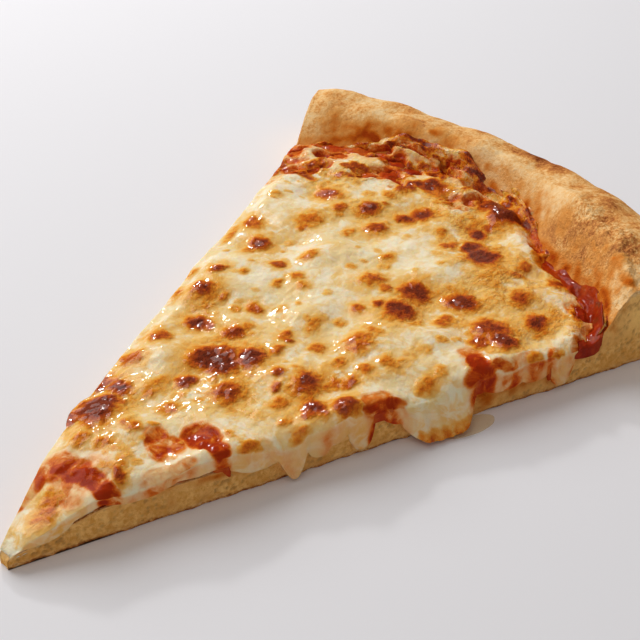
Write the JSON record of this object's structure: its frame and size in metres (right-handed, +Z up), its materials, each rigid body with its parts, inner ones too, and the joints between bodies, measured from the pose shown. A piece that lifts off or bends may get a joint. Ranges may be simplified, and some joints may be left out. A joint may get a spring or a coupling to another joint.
{
  "type": "cheese pizza slice",
  "caption": "Triangular slice of cheese pizza with a puffed crust, tomato sauce and melted browned cheese that runs over its front cut.",
  "frame": {"origin": "on the flat underside, on the slice's middle line, 110 mm from the point where the two cuts would meet", "axes": "+X along the middle line from the tip to the crust, +Y towards the back cut, +Z up out of the flat underside"},
  "size_m": [0.2032, 0.1531, 0.0256],
  "materials": {
    "dough": "matte baked bread, browned and dusty on the crust, open crumb at the cuts",
    "sauce": "wet tomato sauce",
    "cheese": "melted cheese, oily, with browned blisters"
  },
  "bodies": {
    "root": {"dough": "dough", "sauce": "sauce", "cheese": "cheese"}
  },
  "joints": []
}
